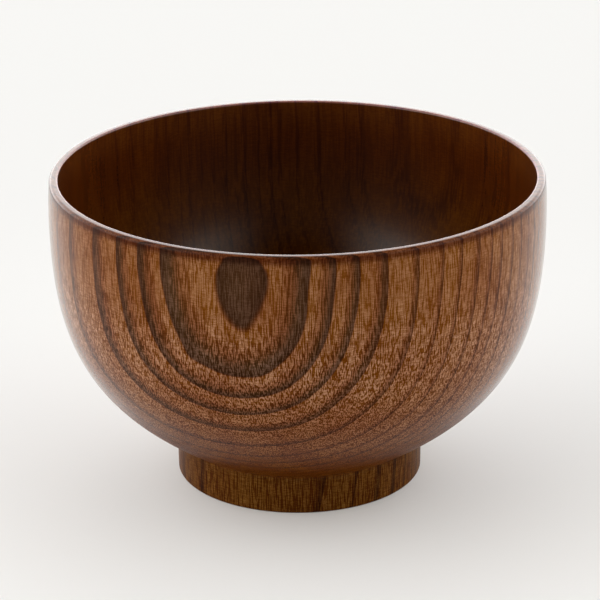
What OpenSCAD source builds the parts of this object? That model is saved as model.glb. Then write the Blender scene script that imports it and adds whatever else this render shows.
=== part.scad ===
// A soup bowl turned from one block of wood, standing on a foot ring,
// with a thin skin of clear brown lacquer outside, inside and under the foot.
// The axis of turning is +Z, and the foot ring stands on z = 0.

/* [Bowl] */
// Height from the table to the top of the lip
bowl_h = 74; // [66:1:84]
// Largest outer diameter, a little below the lip
belly_d = 116; // [104:1:130]
// Slope of the base where it leaves the foot, in degrees from level
base_slope = 32; // [24:1:40]
// How far the base keeps that slope, as a share of the way from foot to belly
base_pull_share = 0.415; // [0.3:0.005:0.5]
// How far the side stays upright below the belly, as a share of the same way
side_pull_share = 0.47; // [0.3:0.005:0.5]

/* [Lip] */
// Height of the lip above the belly's widest level
lip_rise = 9; // [6:0.5:16]
// How far the lip is drawn in from the belly
lip_draw = 0.4; // [0.3:0.1:2]
// Thickness of the wall at the belly and the lip
lip_w = 2.1; // [1.7:0.1:3]
// Radius of the lip's outer rounding
lip_outer_r = 0.9; // [0.5:0.1:1.1]
// Radius of the lip's inner rounding
lip_inner_r = 0.5; // [0.4:0.1:0.6]

/* [Inside] */
// Height of the inside's lowest point above the table
floor_z = 12.5; // [10:0.5:16]
// How far the inside stays upright below the belly, as a share of its depth there
wall_pull_share = 0.7; // [0.6:0.01:0.75]
// How far the floor stays flat, as a share of the inside's radius
floor_pull_share = 0.62; // [0.5:0.01:0.66]

/* [Foot ring] */
// Outer diameter of the foot at the table
foot_d = 58.4; // [48:0.2:68]
// Height of the foot, up to where the base meets it
foot_h = 9.3; // [8:0.1:11]
// Flare of the foot's outer wall, in degrees from upright
foot_flare = 0.5; // [0:0.5:5]
// Width of the ring that stands on the table
foot_ring_w = 4.2; // [3:0.1:6]
// Radius of the ring's two lower edges
foot_edge_r = 0.6; // [0.4:0.1:1]
// Radius of the hollow corner between the foot and the base
foot_fillet_r = 0.5; // [0.3:0.1:1.5]
// Depth of the hollow under the foot
recess_h = 6; // [4.5:0.5:7]
// Radius of the hollow's upper corner
recess_fillet_r = 2; // [1:0.5:3]

/* [Lacquer] */
// Thickness of the lacquered skin
coat_t = 0.15; // [0.1:0.05:0.3]

/* [Hidden] */
// Angle between the points of an arc
arc_step = 3;
// Straight pieces in one free curve of the outline
curve_steps = 30;
// Points nearer than this are one point
same_place = 0.001;
$fn = 180;

// An outline is written as [radius, height]. The point of an arc at angle t has its outward
// normal along [sin(t), -cos(t)], so t is also the slope of the surface there.
function normal(t) = [sin(t), -cos(t)];
function uphill(t) = [cos(t), sin(t)];
function arc(centre, r, t0, t1) =
    let (steps = max(1, ceil(abs(t1 - t0) / arc_step)))
    [for (i = [0:steps]) centre + r * normal(t0 + (t1 - t0) * i / steps)];

// A cubic curve from p0 to p3, drawn towards p1 and p2, and shifted to the left of its course by inset
function curve(p0, p1, p2, p3, inset) =
    [for (i = [0:curve_steps])
        let (b = i / curve_steps, a = 1 - b,
             place = a * a * a * p0 + 3 * a * a * b * p1 + 3 * a * b * b * p2 + b * b * b * p3,
             course = a * a * (p1 - p0) + 2 * a * b * (p2 - p1) + b * b * (p3 - p2))
        place + inset * [-course.y, course.x] / norm(course)];

function backwards(points) = [for (i = [len(points) - 1:-1:0]) points[i]];
function without_repeats(points) =
    [for (i = [0:len(points) - 1]) if (i == 0 || norm(points[i] - points[i - 1]) > same_place) points[i]];

// The belly is the widest level. The side's upper arc stands upright there and leans in to the lip.
belly = [belly_d / 2, bowl_h - lip_rise];
inner_belly = belly - [lip_w, 0];
side_arc_r = (pow(lip_rise, 2) + pow(lip_draw, 2)) / (2 * lip_draw);
side_arc_c = belly - [side_arc_r, 0];
inner_arc_r = side_arc_r - lip_w;

// The lip's outer rounding touches the upper arc from within, and its inner rounding touches
// the same arc of the inside from without.
lip_outer_c = [side_arc_c.x + sqrt(pow(side_arc_r - lip_outer_r, 2) - pow(lip_rise - lip_outer_r, 2)),
               bowl_h - lip_outer_r];
lip_inner_c = [side_arc_c.x + sqrt(pow(inner_arc_r + lip_inner_r, 2) - pow(lip_rise - lip_inner_r, 2)),
               bowl_h - lip_inner_r];

// The foot's flared wall and the base meet in a corner that a small fillet fills
foot_r = foot_d / 2;
foot_corner = [foot_r + foot_h * tan(foot_flare), foot_h];
wall_out = normal(90 - foot_flare);
base_out = normal(base_slope);
fillet_c = foot_corner + foot_fillet_r * (wall_out + base_out) / (1 + wall_out * base_out);
base_start = fillet_c - foot_fillet_r * base_out;
base_to_belly = norm(belly - base_start);

// The ring's lower edges and the hollow's upper corner
recess_r = foot_r - foot_ring_w;
foot_edge_c = [foot_r + foot_edge_r * (tan(foot_flare) - 1 / cos(foot_flare)), foot_edge_r];
recess_edge_c = [recess_r + foot_edge_r, foot_edge_r];
recess_corner_c = [recess_r - recess_fillet_r, recess_h - recess_fillet_r];

// The outlines of the finished bowl, or of a surface that lies inset deep under the finish.
// Outside: from the table up the foot and the side, over the lip to where its inner rounding starts
function outer_outline(inset) =
    let (lip_slope = atan2(lip_outer_c.x - side_arc_c.x, side_arc_c.y - lip_outer_c.y))
    concat(
        arc(foot_edge_c, foot_edge_r - inset, 0, 90 - foot_flare),
        arc(fillet_c, foot_fillet_r + inset, -90 - foot_flare, base_slope - 180),
        curve(base_start, base_start + base_pull_share * base_to_belly * uphill(base_slope),
              belly - [0, side_pull_share * base_to_belly], belly, inset),
        arc(side_arc_c, side_arc_r - inset, 90, lip_slope),
        arc(lip_outer_c, lip_outer_r - inset, lip_slope, 180),
        [[lip_inner_c.x, bowl_h - inset]]);

// Inside: from the lip's top down to the middle of the floor
function inner_outline(inset) =
    let (lip_slope = atan2(lip_inner_c.x - side_arc_c.x, side_arc_c.y - lip_inner_c.y))
    concat(
        arc(lip_inner_c, lip_inner_r - inset, 180, 180 + lip_slope),
        arc(side_arc_c, inner_arc_r + inset, lip_slope, 90),
        curve(inner_belly, inner_belly - [0, wall_pull_share * (inner_belly.y - floor_z)],
              [floor_pull_share * inner_belly.x, floor_z], [0, floor_z], inset));

// Under the foot: from the middle of the hollow out and down to the table
function recess_outline(inset) =
    concat(
        [[0, recess_h + inset]],
        arc(recess_corner_c, recess_fillet_r + inset, 180, 90),
        arc(recess_edge_c, foot_edge_r - inset, -90, 0));

// A ring or a cap of lacquer between the finished outline and the wood
module skin(finish, wood) {
    rotate_extrude() polygon(without_repeats(concat(finish, backwards(wood))));
}

// The wood is bare only on the ring that stands on the table
module wood_body() {
    color([0.55, 0.36, 0.2])
        rotate_extrude() polygon(without_repeats(concat(
            [[foot_edge_c.x, 0]], outer_outline(coat_t), inner_outline(coat_t),
            recess_outline(coat_t), [[recess_edge_c.x, 0]])));
}

module outer_lacquer() {
    color([0.42, 0.25, 0.14]) skin(outer_outline(0), outer_outline(coat_t));
}

module inner_lacquer() {
    color([0.24, 0.12, 0.06]) skin(inner_outline(0), inner_outline(coat_t));
}

module foot_recess_lacquer() {
    color([0.3, 0.16, 0.08]) skin(recess_outline(0), recess_outline(coat_t));
}

wood_body();
outer_lacquer();
inner_lacquer();
foot_recess_lacquer();
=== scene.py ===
# A turned wooden soup bowl in clear brown lacquer, on a pale table.
# The solids come in as a fixed frame; this script gives them their surfaces, wood and light.
# All is in metres. The bowl stands on z = 0 about the Z axis, and is seen from the side of -Y.
from math import cos, hypot, pi, radians, sin, sqrt, tan

import bmesh
import bpy
import numpy as np
from mathutils import Matrix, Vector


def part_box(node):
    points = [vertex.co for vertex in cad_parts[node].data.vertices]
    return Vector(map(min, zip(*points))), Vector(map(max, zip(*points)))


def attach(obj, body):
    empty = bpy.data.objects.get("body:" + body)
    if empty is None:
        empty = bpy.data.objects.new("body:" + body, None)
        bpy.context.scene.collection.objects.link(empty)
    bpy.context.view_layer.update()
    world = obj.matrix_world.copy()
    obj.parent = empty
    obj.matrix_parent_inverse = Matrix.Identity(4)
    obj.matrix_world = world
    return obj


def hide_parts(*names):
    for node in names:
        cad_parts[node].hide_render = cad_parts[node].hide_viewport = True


mm = 0.001

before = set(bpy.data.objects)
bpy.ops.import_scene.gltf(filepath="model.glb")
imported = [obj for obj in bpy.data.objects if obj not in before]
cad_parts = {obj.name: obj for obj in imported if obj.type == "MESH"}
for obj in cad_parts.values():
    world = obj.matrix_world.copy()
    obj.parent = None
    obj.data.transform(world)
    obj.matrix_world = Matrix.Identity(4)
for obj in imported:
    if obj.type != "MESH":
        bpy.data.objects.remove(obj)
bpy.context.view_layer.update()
print("frame loaded:", len(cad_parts), "nodes")


# The camera stands in front of the bowl, at the photograph's angle

cameraPlace = {
    "distance": 600 * mm,       # from the axis of the bowl, along the table
    "height": 275 * mm,
    "lookDown": radians(21.23),
    "roll": radians(-0.46),
    "lens": 163.1,              # with a sensor 36 wide
    "shift": 0.0028,
}


# Stands at (0, -distance, height), looks along Y and lookDown below level, then rolls
def placeCamera(place):
    data = bpy.data.cameras.new("camera")
    data.lens = place["lens"]
    data.sensor_width = 36
    data.shift_x = place["shift"]
    data.clip_start = 10 * mm
    camera = bpy.data.objects.new("camera", data)
    stand = Matrix.Translation((0, -place["distance"], place["height"]))
    look = Matrix.Rotation(pi / 2 - place["lookDown"], 4, "X")
    camera.matrix_world = stand @ look @ Matrix.Rotation(place["roll"], 4, "Z")
    bpy.context.scene.collection.objects.link(camera)
    bpy.context.scene.camera = camera


placeCamera(cameraPlace)


# Outlines of the turned bowl, as points [radius, height].
# The outer size is read from the frame, the rest are the turner's own measures.

bowlLow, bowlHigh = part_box("outer_lacquer")

bowl = {
    "height": bowlHigh[2],
    "bellyRadius": bowlHigh[0],
    "baseSlope": radians(32),   # of the base where it leaves the foot
    "basePull": 0.415,          # share of the way to the belly on which that slope holds
    "sidePull": 0.47,           # share of the same way on which the side stays upright
    "lipRise": 9 * mm,          # from the belly's level to the lip
    "lipDraw": 0.4 * mm,        # how far the lip is drawn in
    "lipWidth": 2.1 * mm,
    "lipOuterRadius": 0.9 * mm,
    "lipInnerRadius": 0.5 * mm,
    "floorHeight": 12.5 * mm,
    "wallPull": 0.7,            # share of the depth on which the inside stays upright
    "floorPull": 0.62,          # share of the inner radius on which the floor stays flat
    "footRadius": 29.2 * mm,
    "footHeight": 9.3 * mm,
    "footFlare": radians(0.5),
    "footRing": 4.2 * mm,
    "footEdge": 0.6 * mm,
    "footFillet": 0.5 * mm,
    "hollowDepth": 6 * mm,
    "hollowFillet": 2 * mm,
    "film": 0.15 * mm,          # thickness of the lacquered skin
}


# Outward normal of a surface that rises at the slope s: (sin s, -cos s)
def outward(slope):
    return np.array([sin(slope), -cos(slope)])


# Arc: centre + radius * (sin t, -cos t), with t the slope of the surface
def arc(centre, radius, start, end, steps):
    t = np.linspace(start, end, steps + 1)
    return np.stack([centre[0] + radius * np.sin(t), centre[1] - radius * np.cos(t)], axis=1)


# Cubic curve through p0 and p3 drawn towards p1 and p2, moved to the left of its course by inset
def curve(p0, p1, p2, p3, inset, steps):
    b = np.linspace(0, 1, steps + 1)[:, None]
    a = 1 - b
    place = a**3 * p0 + 3 * a**2 * b * p1 + 3 * a * b**2 * p2 + b**3 * p3
    course = a**2 * (p1 - p0) + 2 * a * b * (p2 - p1) + b**2 * (p3 - p2)
    left = np.stack([-course[:, 1], course[:, 0]], axis=1)
    return place + inset * left / np.linalg.norm(course, axis=1)[:, None]


# Where the lip's two roundings sit on the upper arc of the side: the outer one touches that arc
# from within, and the inner one touches the inside's arc from without
def lipShape(b):
    belly = np.array([b["bellyRadius"], b["height"] - b["lipRise"]])
    sideRadius = (b["lipRise"] ** 2 + b["lipDraw"] ** 2) / (2 * b["lipDraw"])
    side = belly - np.array([sideRadius, 0])
    innerRadius = sideRadius - b["lipWidth"]
    outerRise = b["lipRise"] - b["lipOuterRadius"]
    innerRise = b["lipRise"] - b["lipInnerRadius"]
    outer = side + np.array([sqrt((sideRadius - b["lipOuterRadius"]) ** 2 - outerRise**2), outerRise])
    inner = side + np.array([sqrt((innerRadius + b["lipInnerRadius"]) ** 2 - innerRise**2), innerRise])
    return belly, side, sideRadius, innerRadius, outer, inner


# Outside: up the foot and the side, over the lip to the start of its inner rounding. The fillet at
# the foot is centred off the corner along the sum of the outward normals of foot and base.
def outerOutline(b, inset, detail):
    belly, side, sideRadius, innerRadius, lipOuter, lipInner = lipShape(b)
    flare, slope, fillet = b["footFlare"], b["baseSlope"], b["footFillet"]
    footEdge = np.array([b["footRadius"] + b["footEdge"] * (tan(flare) - 1 / cos(flare)), b["footEdge"]])
    corner = np.array([b["footRadius"] + b["footHeight"] * tan(flare), b["footHeight"]])
    wallOut = outward(pi / 2 - flare)
    baseOut = outward(slope)
    filletCentre = corner + fillet * (wallOut + baseOut) / (1 + wallOut @ baseOut)
    baseStart = filletCentre - fillet * baseOut
    way = np.linalg.norm(belly - baseStart)
    uphill = np.array([cos(slope), sin(slope)])
    leanIn = np.arctan2(lipOuter[0] - side[0], side[1] - lipOuter[1])
    foot = arc(footEdge, b["footEdge"] - inset, 0, pi / 2 - flare, 8)
    wall = np.linspace(foot[-1], filletCentre + (fillet + inset) * outward(-pi / 2 - flare), 8 * detail)[1:-1]
    return np.concatenate([
        foot,
        wall,
        arc(filletCentre, fillet + inset, -pi / 2 - flare, slope - pi, 8),
        curve(baseStart, baseStart + b["basePull"] * way * uphill,
              belly - np.array([0, b["sidePull"] * way]), belly, inset, 45 * detail)[1:],
        arc(side, sideRadius - inset, pi / 2, leanIn, 6 * detail)[1:],
        arc(lipOuter, b["lipOuterRadius"] - inset, leanIn, pi, 14)[1:],
        [[lipInner[0], b["height"] - inset]],
    ])


# Inside: from the lip's top down to the middle of the floor, which is level there
def innerOutline(b, inset, detail):
    belly, side, sideRadius, innerRadius, lipOuter, lipInner = lipShape(b)
    innerBelly = belly - np.array([b["lipWidth"], 0])
    leanIn = np.arctan2(lipInner[0] - side[0], side[1] - lipInner[1])
    floor = np.array([0, b["floorHeight"]])
    pull = np.array([0, b["wallPull"] * (innerBelly[1] - floor[1])])
    return np.concatenate([
        arc(lipInner, b["lipInnerRadius"] - inset, pi, pi + leanIn, 10),
        arc(side, innerRadius + inset, leanIn, pi / 2, 6 * detail)[1:],
        curve(innerBelly, innerBelly - pull, floor + np.array([b["floorPull"] * innerBelly[0], 0]),
              floor, inset, 50 * detail)[1:],
    ])


# Under the foot: from the middle of the hollow out and down to the table
def hollowOutline(b, inset, detail):
    hollowRadius = b["footRadius"] - b["footRing"]
    corner = np.array([hollowRadius - b["hollowFillet"], b["hollowDepth"] - b["hollowFillet"]])
    edge = np.array([hollowRadius + b["footEdge"], b["footEdge"]])
    ceiling = np.linspace([0, b["hollowDepth"] + inset], corner + [0, b["hollowFillet"] + inset], 12 * detail)
    return np.concatenate([
        ceiling[:-1],
        arc(corner, b["hollowFillet"] + inset, pi, pi / 2, 10),
        arc(edge, b["footEdge"] - inset, -pi / 2, 0, 8),
    ])


# The log: how the growth rings run through the block

log = {
    "heart": (28.97 * mm, 134.03 * mm),     # of the log, behind the bowl, at the level below
    "heartLevel": 70 * mm,
    "lean": (-0.1345, 0.0291),              # how the heart moves as the height grows
    "acrossUnit": 50 * mm,                  # the waves count places across and up in these,
    "upUnit": 50 * mm,                      # and up from this level
    # How the rings leave a true circle: size in mm, power of the place across, power of the height
    "waves": [(-3.5, 3, 0), (2.8, 4, 0), (1.7, 0, 2), (-3.5, 1, 2), (1.1, 2, 1), (2.8, 0, 3)],
    # Small swells of the rings, all in mm: size, place across, height, reach across, reach up
    "swells": [(0.2, 30, 62, 6, 14), (-0.25, 44, 58, 6, 12), (0.35, 38, 31, 10, 6), (-0.2, 14, 67, 6, 6),
               (-0.2, 19, 38, 8, 8), (0.4, -30, 27, 12, 5), (-0.25, 4, 25, 14, 4),
               (0.16, -0.5, 56, 5, 4), (-0.22, -7.5, 70, 4, 7), (0.15, -15.6, 48.5, 2.5, 3),
               (0.1, 1.5, 45, 4, 3), (0.05, 4.5, 60, 2.5, 3), (-0.5, -6.5, 76, 5, 4),
               (-0.35, 7, 76, 5, 4)],
    # The rings nearest the bark: where each starts, from the axis, and its dark porous band, in mm
    "outerRings": [(57.95, 1.2), (56.57, 0.78), (55.38, 0.6), (53.9, 0.65), (51.65, 0.85), (48.2, 0.75),
                   (44.8, 0.6), (41.85, 0.6), (38.6, 0.75), (35.85, 0.55), (33.35, 0.6), (29.85, 0.7),
                   (26.1, 0.7)],
    # The next ones, down to the far side of the bowl
    "backRings": [(21.8, 0.5), (16.8, 1.2), (12, 1.2), (7.5, 0.5), (3, 0.5), (-1, 0.7), (-5.5, 0.5),
                  (-9.5, 1.1), (-14, 0.5), (-18.5, 0.6), (-23.2, 1.2), (-26.8, 0.5), (-30, 1.4),
                  (-34.5, 0.6), (-38.6, 1.3), (-41.4, 0.9), (-46, 0.6), (-51.8, 1.2), (-57.4, 0.8),
                  (-59.8, 0.8), (-64.4, 1.0)],
    "bark": 60,                 # where the last ring would end
    "heartRing": (3.5, 0.7),    # width and band of the rings still nearer the heart
    "heartSpread": 0.25,        # how far their widths vary, as a share
    "heartCount": 8,
    "seed": 7,
    "tones": [(0, 1), (25, 0.65), (46, 0.6), (56, 1)],   # how dark the bands are, by depth in mm
    "backTurn": 0.72,           # how much more the rings turn across, at the far side of the bowl
    "backFall": 0.07,           # and how fast they sink in away from the level below
    "backLevel": 65 * mm,
    "backStart": 25 * mm,       # how far before the axis this starts, and over what length it grows
    "backReach": 80 * mm,
}


# Depth towards the bark, in mm: distance from the log's heart less the heart's distance from the
# axis, plus a few low waves across and up, which fade out on the far side, where the rings turn
def ringDepth(x, y, z):
    heartX, heartY = log["heart"]
    heartDistance = hypot(heartX, heartY)
    toFront = -(x * heartX + y * heartY) / heartDistance
    far = np.clip((log["backStart"] - toFront) / log["backReach"], 0, 1)
    far = far**2 * (3 - 2 * far)
    rise = (z - log["heartLevel"]) * (1 - far)
    fromX = x - heartX - log["lean"][0] * rise
    fromY = y - heartY - log["lean"][1] * rise
    across = (fromX * heartY - fromY * heartX) / heartDistance
    depth = (np.hypot(fromX, fromY) - heartDistance) / mm
    v = across / log["acrossUnit"]
    h = (z - log["upUnit"]) / log["upUnit"] * (1 - far)
    for size, powerAcross, powerUp in log["waves"]:
        depth = depth + size * v**powerAcross * h**powerUp
    for size, placeAcross, placeUp, reachAcross, reachUp in log["swells"]:
        away = ((across / mm - placeAcross) / reachAcross) ** 2 + ((z / mm - placeUp) / reachUp) ** 2
        depth = depth + size * np.exp(-away)
    fall = log["backFall"] * np.abs(z - log["backLevel"])
    return depth - far * (log["backTurn"] * across + fall) / mm


# The starts of the rings, from the innermost out, and the width of each and of its dark band
def ringTable():
    chance = np.random.RandomState(log["seed"])
    starts, bands = np.array(log["outerRings"] + log["backRings"]).T
    width, band = log["heartRing"]
    spread = 1 + log["heartSpread"] * chance.uniform(-1, 1, log["heartCount"])
    starts = np.append(starts, starts[-1] - np.cumsum(width * spread))[::-1]
    bands = np.append(bands, band * spread)[::-1]
    return starts, np.diff(np.append(starts, log["bark"])), bands


# Gives every point of a piece its place in the rings: count of rings, ring width, band width,
# and how dark the bands are there
def markRings(mesh):
    points = np.empty(len(mesh.vertices) * 3, dtype=np.float32)
    mesh.vertices.foreach_get("co", points)
    x, y, z = points.reshape(-1, 3).T.astype(float)
    depth = ringDepth(x, y, z)
    starts, widths, bands = ringTable()
    edges = np.append(starts, log["bark"])
    count = np.interp(depth, edges, np.arange(len(edges)))
    ring = np.clip(count, 0, len(widths) - 1).astype(int)
    marks = np.stack([count, widths[ring], bands[ring]], axis=1).astype(np.float32)
    mesh.attributes.new("rings", "FLOAT_VECTOR", "POINT").data.foreach_set("vector", marks.ravel())
    tone = np.interp(depth, *np.array(log["tones"]).T).astype(np.float32)
    mesh.attributes.new("tone", "FLOAT", "POINT").data.foreach_set("value", tone)


samePlace = 0.001 * mm          # points of a mesh nearer than this are one
sharpAngle = radians(35)        # edges that turn by more than this stay sharp


# A closed skin: the finished outline and the one that lies on the wood, turned about the axis.
# Point (r, z) of the loop goes to (r cos a, r sin a, z), and points on the axis become one.
def turnedSkin(name, finish, wood, around):
    loop = np.concatenate([finish, wood[::-1]])
    angle = np.arange(around) * 2 * pi / around
    x = loop[:, 0, None] * np.cos(angle)
    y = loop[:, 0, None] * np.sin(angle)
    z = np.broadcast_to(loop[:, 1, None], x.shape)
    points = np.stack([x, y, z], axis=2).reshape(-1, 3)
    row, column = np.meshgrid(np.arange(len(loop)), np.arange(around), indexing="ij")
    nextRow, nextColumn = (row + 1) % len(loop), (column + 1) % around
    faces = np.stack([row * around + column, row * around + nextColumn,
                      nextRow * around + nextColumn, nextRow * around + column], axis=2).reshape(-1, 4)
    mesh = bpy.data.meshes.new(name)
    mesh.from_pydata(points.tolist(), [], faces.tolist())
    work = bmesh.new()
    work.from_mesh(mesh)
    bmesh.ops.remove_doubles(work, verts=work.verts, dist=samePlace)
    bmesh.ops.recalc_face_normals(work, faces=work.faces)
    work.to_mesh(mesh)
    work.free()
    mesh.shade_smooth()
    mesh.set_sharp_from_angle(angle=sharpAngle)
    markRings(mesh)
    piece = bpy.data.objects.new(name, mesh)
    bpy.context.scene.collection.objects.link(piece)
    print(name, "has", len(mesh.polygons), "faces")
    return piece


# The coats on the wood, each a skin of its own: how many faces go round it, and how finely
# its finished outline is divided
skins = {
    "lacquered_outside": {"outline": outerOutline, "around": 384, "detail": 2},
    "lacquered_inside": {"outline": innerOutline, "around": 384, "detail": 2},
    "lacquered_hollow": {"outline": hollowOutline, "around": 192, "detail": 1},
}

outerSkin, innerSkin, hollowSkin = [
    turnedSkin(name, skin["outline"](bowl, 0, skin["detail"]), skin["outline"](bowl, bowl["film"], 1),
               skin["around"])
    for name, skin in skins.items()
]


# Small helpers for shader nodes

# A socket is given a number, a colour or a link from another node
def setSocket(tree, socket, value):
    if isinstance(value, bpy.types.NodeSocket):
        tree.links.new(value, socket)
    else:
        socket.default_value = value


def addNode(tree, kind, sockets=None, **settings):
    new = tree.nodes.new("ShaderNode" + kind)
    for name, value in settings.items():
        setattr(new, name, value)
    for socket, value in (sockets or {}).items():
        setSocket(tree, new.inputs[socket], value)
    return new


def compute(tree, operation, *values):
    return addNode(tree, "Math", dict(enumerate(values)), operation=operation).outputs[0]


# Maps a value from low..high to 0..1, with soft ends
def between(tree, value, low, high):
    sockets = {"Value": value, "From Min": low, "From Max": high}
    return addNode(tree, "MapRange", sockets, interpolation_type="SMOOTHSTEP").outputs["Result"]


# The first colour where share is 0, and the second where it is 1. Sockets 0, 6 and 7 of the node
# are the share and the two colours.
def blendColours(tree, share, first, second, how="MIX"):
    new = addNode(tree, "Mix", data_type="RGBA", blend_type=how)
    for socket, value in ((0, share), (6, first), (7, second)):
        setSocket(tree, new.inputs[socket], value)
    return new.outputs[2]


def newGroup(name, inputs, outputs):
    group = bpy.data.node_groups.new(name, "ShaderNodeTree")
    for socketName, kind, value in inputs:
        socket = group.interface.new_socket(socketName, in_out="INPUT", socket_type="NodeSocket" + kind)
        if value is not None:
            socket.default_value = value
    for socketName, kind in outputs:
        group.interface.new_socket(socketName, in_out="OUTPUT", socket_type="NodeSocket" + kind)
    return group, group.nodes.new("NodeGroupInput").outputs, group.nodes.new("NodeGroupOutput").inputs


def useGroup(tree, group, sockets):
    new = tree.nodes.new("ShaderNodeGroup")
    new.node_tree = group
    for socket, value in sockets.items():
        setSocket(tree, new.inputs[socket], value)
    return new.outputs


# Fibres that run up through the block: noise of the given width, drawn out along Z
def buildFibres():
    group, given, result = newGroup("fibres", [
        ("Vector", "Vector", None), ("Width", "Float", 0.35 * mm), ("Stretch", "Float", 20.0),
        ("Detail", "Float", 0.0), ("Contrast", "Float", 0.15),
    ], [("Streak", "Float")])
    across = compute(group, "DIVIDE", 1.0, given["Width"])
    along = compute(group, "DIVIDE", across, given["Stretch"])
    scale = addNode(group, "CombineXYZ", {"X": across, "Y": across, "Z": along}).outputs[0]
    place = addNode(group, "VectorMath", {0: given["Vector"], 1: scale}, operation="MULTIPLY").outputs[0]
    noise = addNode(group, "TexNoise", {"Vector": place, "Scale": 1.0, "Detail": given["Detail"],
                                        "Roughness": 0.55}).outputs[0]
    low = compute(group, "SUBTRACT", 0.5, given["Contrast"])
    high = compute(group, "ADD", 0.5, given["Contrast"])
    group.links.new(between(group, noise, low, high), result["Streak"])
    return group


# The dark porous band at the start of each ring: full up to the band's width, then ragged.
# Its very start is a darker line, full up to 0.05 mm. All lengths are in mm.
def buildRingBand():
    group, given, result = newGroup("ringBand", [
        ("Rings", "Vector", None), ("Ragged", "Float", 0.5), ("Raggedness", "Float", 0.5),
        ("Start Blur", "Float", 0.06), ("End Blur", "Float", 0.25), ("Line", "Float", 0.3),
    ], [("Band", "Float"), ("Start", "Float")])
    count, ringWidth, bandWidth = addNode(group, "SeparateXYZ", {0: given["Rings"]}).outputs
    share = compute(group, "FRACT", count)
    into = compute(group, "MULTIPLY", share, ringWidth)
    shift = compute(group, "MULTIPLY", compute(group, "SUBTRACT", given["Ragged"], 0.5), given["Raggedness"])
    worn = compute(group, "ADD", into, shift)
    full = compute(group, "SUBTRACT", bandWidth, given["End Blur"])
    gone = compute(group, "ADD", bandWidth, given["End Blur"])
    ending = addNode(group, "MapRange", {"Value": worn, "From Min": gone, "From Max": full}).outputs["Result"]
    starting = between(group, into, 0.0, given["Start Blur"])
    group.links.new(compute(group, "MULTIPLY", ending, starting), result["Band"])
    thinning = addNode(group, "MapRange", {"Value": into, "From Min": given["Line"], "From Max": 0.05})
    group.links.new(compute(group, "MULTIPLY", thinning.outputs["Result"], starting), result["Start"])
    return group


# Fine level marks left by turning and rubbing down: noise drawn out around the axis
def buildTurningMarks():
    group, given, result = newGroup("turningMarks", [
        ("Vector", "Vector", None), ("Pitch", "Float", 0.26 * mm), ("Length", "Float", 1.6 * mm),
    ], [("Marks", "Float")])
    x, y, z = addNode(group, "SeparateXYZ", {0: given["Vector"]}).outputs
    acrossX = compute(group, "DIVIDE", x, given["Length"])
    acrossY = compute(group, "DIVIDE", y, given["Length"])
    up = compute(group, "DIVIDE", z, given["Pitch"])
    place = addNode(group, "CombineXYZ", {0: acrossX, 1: acrossY, 2: up}).outputs[0]
    noise = addNode(group, "TexNoise", {"Vector": place, "Scale": 1.0, "Detail": 1.5}).outputs[0]
    group.links.new(between(group, noise, 0.35, 0.65), result["Marks"])
    return group


fibres = buildFibres()
ringBand = buildRingBand()
turningMarks = buildTurningMarks()
print("node groups built:", len(bpy.data.node_groups))


def colour(red, green, blue):
    return (red, green, blue, 1.0)


# How each coat shows the wood under it. All colours are linear. The light wood lies between the
# rings' dark bands, and each has a colour for the valleys, the body and the crests of its texture.
top = bowl["height"]

outsideFinish = {
    "lightCrest": colour(0.395, 0.22, 0.145),
    "lightBody": colour(0.23, 0.081, 0.0008),
    "lightValley": colour(0.094, 0.0218, 0.0001),
    "darkCrest": colour(0.155, 0.09, 0.062),
    "darkBody": colour(0.085, 0.036, 0.012),
    "darkValley": colour(0.028, 0.01, 0.001),
    "lineTint": colour(0.64, 0.57, 0.55),       # of the line at the very start of a band
    "edgeTint": colour(0.94, 0.78, 0.66),       # of the wood on either side of a band's edge
    "broadTint": colour(0.84, 0.74, 0.68),      # of the deeper coloured parts of the wood
    "startBlur": 0.1,                           # how a band starts and ends, and its line, in mm
    "endBlur": 0.34,
    "raggedness": 0.18,
    "line": 0.4,
    "fibre": 0.22 * mm,                         # width of the fine fibres
    "fibreContrast": 0.07,
    "shares": (0.7, 0.0, 0.32, 0.22),           # of fine fibres, coarse fibres, turning marks and grain
    "calm": (45 * mm, 66 * mm, 0.52),           # heights between which the texture falls to this share
    "footCalm": 0.75,                           # and what is left of it on the foot
    "relief": 0.012 * mm,
    "roughness": 0.32,
    "roughSwing": 0.06,
    "specular": 0.03,
    "gloss": (0.28, 0.88),                      # how far the surface turns away as the sheen sets in
    "lipGloss": 0.15,                           # sheen on the crown of the lip
    "dull": (32 * mm, 18 * mm, 1.0),            # heights between which this share of the sheen goes
    "tintsAndPaintedLight": [                                 # tints that set in from one height to another
        (top - 2.6 * mm, top - 1.0 * mm, colour(0.42, 0.28, 0.2)),      # painted shade under the lip and on its outer rounding
        (top - 0.55 * mm, top - 0.12 * mm, colour(1.7, 2.0, 2.5)),      # painted highlight along the crown of the lip
        (46 * mm, 14 * mm, colour(0.55, 0.35, 0.07)),                   # painted shade low on the side, which lies in the bowl's own shade
        (9.6 * mm, 9.0 * mm, colour(0.79, 1.08, 1.9)),                  # foot: with the tint above, painted shade on the foot
    ],
}

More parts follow.
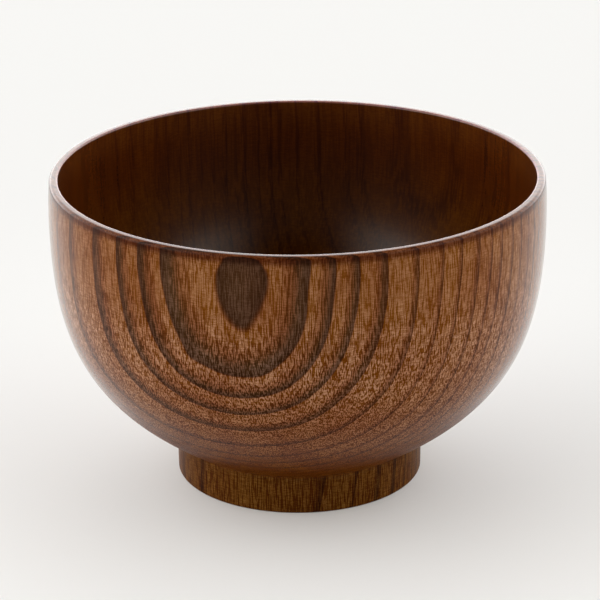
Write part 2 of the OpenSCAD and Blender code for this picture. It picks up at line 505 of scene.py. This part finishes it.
insideFinish = {
    "lightCrest": colour(0.081, 0.0175, 0.0003),
    "lightBody": colour(0.066, 0.0137, 0.0002),
    "lightValley": colour(0.049, 0.0096, 0.0002),
    "darkCrest": colour(0.045, 0.008, 0.0002),
    "darkBody": colour(0.038, 0.0067, 0.0002),
    "darkValley": colour(0.03, 0.0052, 0.0002),
    "lineTint": colour(1.0, 1.0, 1.0),
    "edgeTint": colour(1.0, 1.0, 1.0),
    "broadTint": colour(0.82, 0.74, 0.7),
    "startBlur": 0.6,
    "endBlur": 0.8,
    "raggedness": 0.8,
    "line": 0.35,
    "fibre": 0.5 * mm,
    "fibreContrast": 0.15,
    "shares": (0.4, 0.3, 0.4, 0.25),
    "calm": (40 * mm, 70 * mm, 1.0),
    "footCalm": 1.0,
    "relief": 0.0015 * mm,
    "roughness": 0.25,
    "roughSwing": 0.01,
    "specular": 0.3,
    "gloss": (0.6, 0.95),
    "lipGloss": 0.15,
    "dull": (28 * mm, 15 * mm, 0.0),
    "tintsAndPaintedLight": [
        (62 * mm, 40 * mm, colour(1.4, 1.9, 2.0)),                      # lower wall and floor
        (top - 9 * mm, top - 1 * mm, colour(1.3, 1.6, 10.0)),           # painted light: the upper wall paler and hazier just under the rim
        (top - 0.45 * mm, top - 0.05 * mm, colour(3.6, 6.0, 48.0)),     # painted highlight along the crown of the lip
    ],
}

hollowFinish = {
    "lightCrest": colour(0.22, 0.1, 0.05),
    "lightBody": colour(0.14, 0.05, 0.015),
    "lightValley": colour(0.08, 0.022, 0.003),
    "darkCrest": colour(0.08, 0.04, 0.025),
    "darkBody": colour(0.05, 0.022, 0.01),
    "darkValley": colour(0.03, 0.012, 0.005),
    "lineTint": colour(0.75, 0.7, 0.68),
    "edgeTint": colour(1.0, 0.9, 0.8),
    "broadTint": colour(0.85, 0.8, 0.75),
    "startBlur": 0.1,
    "endBlur": 0.3,
    "raggedness": 0.5,
    "line": 0.35,
    "fibre": 0.35 * mm,
    "fibreContrast": 0.12,
    "shares": (0.6, 0.15, 0.3, 0.3),
    "calm": (40 * mm, 70 * mm, 1.0),
    "footCalm": 1.0,
    "relief": 0.008 * mm,
    "roughness": 0.4,
    "roughSwing": 0.04,
    "specular": 0.3,
    "gloss": (0.6, 0.95),
    "lipGloss": 0.0,
    "dull": (28 * mm, 15 * mm, 0.0),
    "tintsAndPaintedLight": [],
}

# What the three coats have in common. The layers of fibres are noise of one width, drawn out upwards.
woodTexture = {
    "fineStretch": 18.0,
    "coarse": {"Width": 1.5 * mm, "Stretch": 12.0, "Contrast": 0.2},
    "broad": {"Width": 7 * mm, "Stretch": 2.0, "Contrast": 0.3},
    "grain": {"Width": 0.15 * mm, "Stretch": 1.6, "Contrast": 0.1},
    "raggedShares": (0.9, 0.1),                 # of fine and coarse fibres in a band's ragged end
    "crestPower": 3.0,                          # how narrow the crests are
    "footTop": (9.8 * mm, 8.8 * mm),            # heights between which the side turns into the foot
    "lipCrown": (top - 0.9 * mm, top - 0.3 * mm),
    "coatRoughness": 0.15,
}


def newMaterial(name):
    material = bpy.data.materials.new(name)
    material.use_nodes = True
    tree = material.node_tree
    tree.nodes.clear()
    shader = tree.nodes.new("ShaderNodeBsdfPrincipled")
    output = tree.nodes.new("ShaderNodeOutputMaterial")
    tree.links.new(shader.outputs[0], output.inputs["Surface"])
    return material, tree, shader


# Tints of the colour that set in from one height to another; some are painted shade and painted highlights,
# as each finish's list says
def tintByHeight(tree, place, shown, tintsAndPaintedLight):
    height = addNode(tree, "SeparateXYZ", {0: place}).outputs[2]
    for clearLevel, fullLevel, tint in tintsAndPaintedLight:
        share = between(tree, height, clearLevel, fullLevel)
        shown = blendColours(tree, share, shown, tint, how="MULTIPLY")
    return shown


# Wood under clear lacquer: two tones of wood, each with valleys, body and crests.
# streak = 0.5 + strength * sum of share * (texture - 0.5), and a crest is a high power of it.
# An edge of a band is where 4 * band * (1 - band) nears 1.
def lacqueredWood(name, finish):
    material, tree, shader = newMaterial(name)
    place = tree.nodes.new("ShaderNodeTexCoord").outputs["Object"]
    rings = addNode(tree, "Attribute", attribute_name="rings").outputs["Vector"]
    tone = addNode(tree, "Attribute", attribute_name="tone").outputs["Fac"]
    fine = useGroup(tree, fibres, {"Vector": place, "Width": finish["fibre"],
                                   "Stretch": woodTexture["fineStretch"],
                                   "Contrast": finish["fibreContrast"]})["Streak"]
    coarse = useGroup(tree, fibres, {"Vector": place, **woodTexture["coarse"]})["Streak"]
    broad = useGroup(tree, fibres, {"Vector": place, **woodTexture["broad"]})["Streak"]
    marks = useGroup(tree, turningMarks, {"Vector": place})["Marks"]
    grain = useGroup(tree, fibres, {"Vector": place, **woodTexture["grain"]})["Streak"]

    # The ring's dark band, paler midway from the axis to the bark
    fineShare, coarseShare = woodTexture["raggedShares"]
    ragged = compute(tree, "MULTIPLY_ADD", coarse, coarseShare, compute(tree, "MULTIPLY", fine, fineShare))
    ring = useGroup(tree, ringBand, {"Rings": rings, "Ragged": ragged, "Raggedness": finish["raggedness"],
                                     "Start Blur": finish["startBlur"], "End Blur": finish["endBlur"],
                                     "Line": finish["line"]})
    band = compute(tree, "MULTIPLY", ring["Band"], tone)

    # The texture's strength: weaker high on the wall and on the foot
    calmStart, calmEnd, calmShare = finish["calm"]
    height = addNode(tree, "SeparateXYZ", {0: place}).outputs[2]
    strength = compute(tree, "MULTIPLY_ADD", between(tree, height, calmStart, calmEnd), calmShare - 1, 1.0)
    streak = 0.0
    for texture, share in zip((fine, coarse, marks, grain), finish["shares"]):
        streak = compute(tree, "MULTIPLY_ADD", compute(tree, "SUBTRACT", texture, 0.5), share, streak)
    onFoot = between(tree, height, *woodTexture["footTop"])
    footShare = compute(tree, "MULTIPLY_ADD", onFoot, finish["footCalm"] - 1, 1.0)
    strength = compute(tree, "MULTIPLY", strength, footShare)
    streak = compute(tree, "MULTIPLY_ADD", streak, strength, 0.5)
    streak = addNode(tree, "Clamp", {0: streak}).outputs[0]
    crest = compute(tree, "POWER", streak, woodTexture["crestPower"])

    # Colour
    light = blendColours(tree, streak, finish["lightValley"], finish["lightBody"])
    light = blendColours(tree, crest, light, finish["lightCrest"])
    dark = blendColours(tree, streak, finish["darkValley"], finish["darkBody"])
    dark = blendColours(tree, crest, dark, finish["darkCrest"])
    wood = blendColours(tree, band, light, dark)
    notBand = compute(tree, "SUBTRACT", 1.0, band)
    edge = compute(tree, "MULTIPLY", compute(tree, "MULTIPLY", band, 4.0), notBand)
    wood = blendColours(tree, edge, wood, finish["edgeTint"], how="MULTIPLY")
    wood = blendColours(tree, ring["Start"], wood, finish["lineTint"], how="MULTIPLY")
    wood = blendColours(tree, broad, wood, finish["broadTint"], how="MULTIPLY")
    # Tints by height, among them painted shade low on the side and painted highlights at the lip
    shown = tintByHeight(tree, place, wood, finish["tintsAndPaintedLight"])

    # Surface and sheen
    bump = addNode(tree, "Bump", {"Height": streak, "Distance": finish["relief"]}).outputs[0]
    swing = finish["roughSwing"]
    rough = compute(tree, "MULTIPLY_ADD", streak, -swing, finish["roughness"] + swing / 2)
    away = addNode(tree, "LayerWeight", {"Blend": 0.5}).outputs["Facing"]
    onLip = compute(tree, "MULTIPLY", between(tree, height, *woodTexture["lipCrown"]), finish["lipGloss"])
    brightLevel, dullLevel, dullShare = finish["dull"]
    dulled = compute(tree, "MULTIPLY_ADD", between(tree, height, brightLevel, dullLevel), -dullShare, 1.0)
    sheen = compute(tree, "MULTIPLY", between(tree, away, *finish["gloss"]), dulled)
    sheen = compute(tree, "MAXIMUM", sheen, onLip)
    for socket, value in (("Base Color", shown), ("Roughness", rough), ("Normal", bump),
                          ("Coat Weight", sheen), ("Coat Roughness", woodTexture["coatRoughness"]),
                          ("Specular IOR Level", finish["specular"])):
        setSocket(tree, shader.inputs[socket], value)
    return material


outsideWood = lacqueredWood("outside_wood", outsideFinish)
insideWood = lacqueredWood("inside_wood", insideFinish)
hollowWood = lacqueredWood("hollow_wood", hollowFinish)

for piece, material, node, slot in (
    (outerSkin, outsideWood, "outer_lacquer", "outer_lacquer"),
    (innerSkin, insideWood, "inner_lacquer", "inner_lacquer"),
    (hollowSkin, hollowWood, "foot_recess_lacquer", "outer_lacquer"),
):
    piece.data.materials.append(material)
    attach(piece, "root")
    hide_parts(node)
print("coats dressed")


# Bare wood, seen only on the ring that stands on the table: end grain with its rings

bareFinish = {
    "valley": colour(0.32, 0.16, 0.07),
    "crest": colour(0.5, 0.3, 0.15),
    "ringColour": colour(0.2, 0.1, 0.05),
    "ringScale": 90.0,
    "relief": 0.02 * mm,
    "roughness": 0.75,
}


# Rings about the log's heart, from a saw wave of the distance to it
def bareWood():
    material, tree, shader = newMaterial("bare_wood")
    place = tree.nodes.new("ShaderNodeTexCoord").outputs["Object"]
    heartX, heartY = log["heart"]
    centred = addNode(tree, "Mapping", {"Vector": place, "Location": (-heartX, -heartY, 0)}).outputs[0]
    rings = addNode(tree, "TexWave", {"Vector": centred, "Scale": bareFinish["ringScale"], "Distortion": 1.0,
                                      "Detail": 2.0},
                    wave_type="RINGS", rings_direction="Z", wave_profile="SAW").outputs["Fac"]
    streak = useGroup(tree, fibres, {"Vector": place, "Stretch": 20.0})["Streak"]
    light = blendColours(tree, streak, bareFinish["valley"], bareFinish["crest"])
    shown = blendColours(tree, between(tree, rings, 0.3, 0.05), light, bareFinish["ringColour"])
    bump = addNode(tree, "Bump", {"Height": streak, "Distance": bareFinish["relief"]}).outputs[0]
    tree.links.new(shown, shader.inputs["Base Color"])
    tree.links.new(bump, shader.inputs["Normal"])
    shader.inputs["Roughness"].default_value = bareFinish["roughness"]
    return material


bareRing = bareWood()
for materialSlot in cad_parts["wood_body"].material_slots:
    materialSlot.material = bareRing
print("bare wood dressed")


# Table: a wide sheet of pale paper

tableTop = {
    "half": 3.0,                                # of its side, in metres
    "nearPaintedLight": colour(0.885, 0.883, 0.876),  # painted light: paler paper before and under the bowl
    "farPaintedShade": colour(0.728, 0.724, 0.716),   # painted shade: darker paper behind it, where the light from behind is strongest
    "turn": (-0.12, 0.22),                      # where along Y the one turns into the other
    "shownColour": colour(0.92, 0.92, 0.905),   # what the camera sees of its own paleness
    "shownShare": 0.13,
    "roughness": 0.8,
    "specular": 0.1,
}


# A flat square; a share of what the camera sees of it is a pale colour of its own
def buildTable():
    mesh = bpy.data.meshes.new("table_top")
    half = tableTop["half"]
    corners = [(-half, -half, 0), (half, -half, 0), (half, half, 0), (-half, half, 0)]
    mesh.from_pydata(corners, [], [(0, 1, 2, 3)])
    table = bpy.data.objects.new("table_top", mesh)
    bpy.context.scene.collection.objects.link(table)
    material, tree, shader = newMaterial("pale_table")
    y = addNode(tree, "SeparateXYZ", {0: tree.nodes.new("ShaderNodeTexCoord").outputs["Object"]}).outputs[1]
    # Painted light and shade: the paper is paler near the bowl and darker behind it
    far = between(tree, y, *tableTop["turn"])
    paperWithPaintedLight = blendColours(tree, far, tableTop["nearPaintedLight"], tableTop["farPaintedShade"])
    tree.links.new(paperWithPaintedLight, shader.inputs["Base Color"])
    shader.inputs["Roughness"].default_value = tableTop["roughness"]
    shader.inputs["Specular IOR Level"].default_value = tableTop["specular"]
    pale = addNode(tree, "Emission", {"Color": tableTop["shownColour"]})
    seen = tree.nodes.new("ShaderNodeLightPath").outputs["Is Camera Ray"]
    share = compute(tree, "MULTIPLY", seen, tableTop["shownShare"])
    mix = addNode(tree, "MixShader", {0: share, 1: shader.outputs[0], 2: pale.outputs[0]})
    tree.links.new(mix.outputs[0], tree.nodes["Material Output"].inputs["Surface"])
    mesh.materials.append(material)


# Room light, from all round: X runs to the right of the bowl and Y behind it

room = {
    "behindColour": colour(0.995, 1.0, 1.0),
    "beforeColour": colour(1.0, 0.93, 0.82),    # low down before the bowl the light is warmer
    "warm": (0.4, -0.6),                        # where along Y it turns warm
    "overhead": 0.25,                           # strength straight overhead
    "level": 1.17,                              # and at the level of the table
    "low": (0.85, 0.15),                        # how high the one turns into the other
    "sides": [                                  # axis, where it starts, where it is full, strength added
        (1, 0.3, 0.95, 1.9),                    # behind
        (0, -0.3, -0.95, 2.6),                  # left
        (0, 0.3, 0.95, 1.8),                    # right
        (1, -0.3, -0.95, -0.7),                 # before
    ],
    "darkPlace": (0, -0.87, 0.48),              # towards the one dark thing in the room
    "darkEdge": (0.88, 0.95),
    "darkShare": 0.7,
    "backdrop": colour(0.95, 0.95, 0.94),       # what the camera sees past the table
}


# Strength by direction: a level that falls off overhead, plus or minus a share at each side,
# less one soft dark patch where direction . darkPlace is high
def buildWorld():
    world = bpy.data.worlds.new("soft_room")
    bpy.context.scene.world = world
    world.use_nodes = True
    tree = world.node_tree
    tree.nodes.clear()
    direction = tree.nodes.new("ShaderNodeTexCoord").outputs["Generated"]
    parts = addNode(tree, "SeparateXYZ", {0: direction}).outputs
    lowness = between(tree, parts[2], *room["low"])
    strength = compute(tree, "MULTIPLY_ADD", lowness, room["level"] - room["overhead"], room["overhead"])
    before = between(tree, parts[1], *room["warm"])
    warm = compute(tree, "MULTIPLY", before, lowness)
    roomColour = blendColours(tree, warm, room["behindColour"], room["beforeColour"])
    for axis, start, full, added in room["sides"]:
        strength = compute(tree, "MULTIPLY_ADD", between(tree, parts[axis], start, full), added, strength)
    towardsDark = addNode(tree, "VectorMath", {0: direction, 1: room["darkPlace"]},
                          operation="DOT_PRODUCT").outputs["Value"]
    dark = between(tree, towardsDark, *room["darkEdge"])
    notDark = compute(tree, "MULTIPLY_ADD", dark, -room["darkShare"], 1.0)
    strength = compute(tree, "MULTIPLY", strength, notDark)
    light = addNode(tree, "Background", {"Color": roomColour, "Strength": strength})
    backdrop = addNode(tree, "Background", {"Color": room["backdrop"], "Strength": 1.0})
    seen = tree.nodes.new("ShaderNodeLightPath").outputs["Is Camera Ray"]
    mix = addNode(tree, "MixShader", {0: seen, 1: light.outputs[0], 2: backdrop.outputs[0]})
    output = tree.nodes.new("ShaderNodeOutputWorld")
    tree.links.new(mix.outputs[0], output.inputs["Surface"])


# A faint soft box behind the bowl: place and size in metres, power in watts
backLight = {
    "place": (-0.35, 1.1, 0.85),
    "size": (1.4, 0.7),
    "power": 0.3,
}


# The box stands at its place and is turned towards the origin
def buildLight(name, box):
    data = bpy.data.lights.new(name, "AREA")
    data.shape = "RECTANGLE"
    data.size, data.size_y = box["size"]
    data.energy = box["power"]
    light = bpy.data.objects.new(name, data)
    x, y, z = box["place"]
    turn = np.arctan2(-x, y)
    tilt = np.arctan2(hypot(x, y), z)
    stand = Matrix.Translation((x, y, z))
    light.matrix_world = stand @ Matrix.Rotation(turn, 4, "Z") @ Matrix.Rotation(-tilt, 4, "X")
    bpy.context.scene.collection.objects.link(light)


buildTable()
buildWorld()
buildLight("back_light", backLight)
bpy.context.scene.view_settings.view_transform = "Standard"
print("table and light stand")
